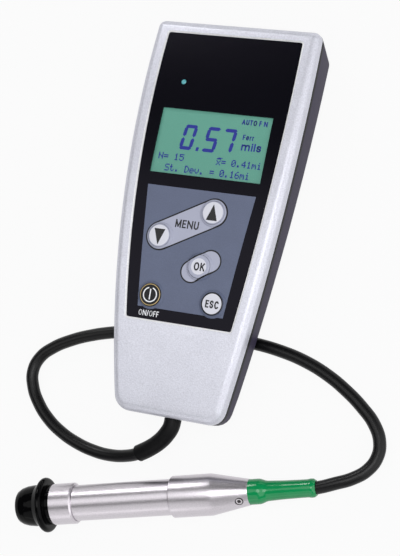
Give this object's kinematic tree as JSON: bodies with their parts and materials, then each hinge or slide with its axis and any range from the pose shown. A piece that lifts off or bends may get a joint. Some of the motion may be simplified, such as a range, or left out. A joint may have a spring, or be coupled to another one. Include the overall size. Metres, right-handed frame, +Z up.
{
  "type": "coating thickness gauge",
  "caption": "Hand-held coating thickness gauge: tapered two-shell housing with display and keypad, and a cabled pen probe with a sprung contact tip.",
  "frame": {"origin": "on the rear shell's flat rest face, at the middle of the housing's length and width", "axes": "+Z up from the rest face to the display, +Y towards the display end, +X to the right as the display is read"},
  "size_m": [0.1609, 0.2183, 0.0268],
  "materials": {
    "silver_shell": "satin silver paint on a moulded shell",
    "dark_shell": "fine textured dark grey moulding",
    "panel_film": "satin black printed film",
    "keypad_film": "fine textured blue-grey printed film",
    "window": "clear display window",
    "lcd": "green display glass with indigo segments",
    "bright_frame": "pressed display frame",
    "board": "solder resist",
    "chip": "moulded epoxy",
    "switch": "pressed steel",
    "key_grey": "satin key cap",
    "key_black": "satin black key cap",
    "key_white": "satin white key cap",
    "led": "clear tinted lens",
    "steel": "plain zinc plate",
    "cell": "printed battery sleeve",
    "connector": "natural nylon",
    "cable_jacket": "semi-matt black jacket",
    "bright_metal": "fine turned aluminium",
    "cap_plastic": "polished black moulding",
    "green_boot": "glossy green elastomer",
    "bronze": "turned bronze",
    "copper": "enamelled copper wire"
  },
  "bodies": {
    "gauge": {"front_shell": "silver_shell", "rear_shell": "dark_shell", "overlay_panel": "panel_film", "keypad_sheet": "keypad_film", "display_window": "window", "lcd_glass": "lcd", "lcd_frame": "bright_frame", "main_board": "board", "board_chips": "chip", "tact_switches": "switch", "indicator_led": "led", "board_screws": "steel", "case_screws": "steel", "battery_cells": "cell", "battery_contacts": "steel", "buzzer": "chip", "cable_connector": "connector", "cable_gland": "cable_jacket", "bend_sleeve": "cable_jacket", "probe_cable": "cable_jacket", "probe_cap": "cap_plastic", "cap_ring": "cap_plastic", "probe_collar": "bright_metal", "probe_barrel": "bright_metal", "probe_sleeve": "bright_metal", "grub_screw": "steel", "cable_boot": "green_boot", "guide_bush": "bronze", "tip_spring": "steel", "spring_seat": "connector"},
    "key_up": {"key_up": "key_grey"},
    "key_down": {"key_down": "key_grey"},
    "key_ok": {"key_ok": "key_grey"},
    "key_power": {"key_power": "key_black"},
    "key_esc": {"key_esc": "key_white"},
    "battery_door": {"battery_door": "dark_shell"},
    "contact": {"contact_tip": "steel", "tip_plunger": "bright_metal", "coil_bobbin": "connector", "sensor_coils": "copper"}
  },
  "joints": [
    {"name": "key_up_press", "type": "slide", "parent": "gauge", "child": "key_up", "axis": [0, -0.0035, -1], "range_m": [0, 0.0005], "stiffness_N_per_m": 1200},
    {"name": "key_down_press", "type": "slide", "parent": "gauge", "child": "key_down", "axis": [0, 0.0174, -0.9998], "range_m": [0, 0.0005], "stiffness_N_per_m": 1200},
    {"name": "key_ok_press", "type": "slide", "parent": "gauge", "child": "key_ok", "axis": [0, 0.0354, -0.9994], "range_m": [0, 0.0005], "stiffness_N_per_m": 1200},
    {"name": "key_power_press", "type": "slide", "parent": "gauge", "child": "key_power", "axis": [0, 0.06, -0.9982], "range_m": [0, 0.0005], "stiffness_N_per_m": 1200},
    {"name": "key_esc_press", "type": "slide", "parent": "gauge", "child": "key_esc", "axis": [0, 0.06, -0.9982], "range_m": [0, 0.0005], "stiffness_N_per_m": 1200},
    {"name": "door_slide", "type": "slide", "parent": "gauge", "child": "battery_door", "axis": [0, 1, 0], "range_m": [0, 0.01]},
    {"name": "tip_press", "type": "slide", "parent": "gauge", "child": "contact", "axis": [0.9691, 0.2434, -0.0399], "range_m": [0, 0.0008], "stiffness_N_per_m": 800, "deforming": ["tip_spring"]}
  ]
}
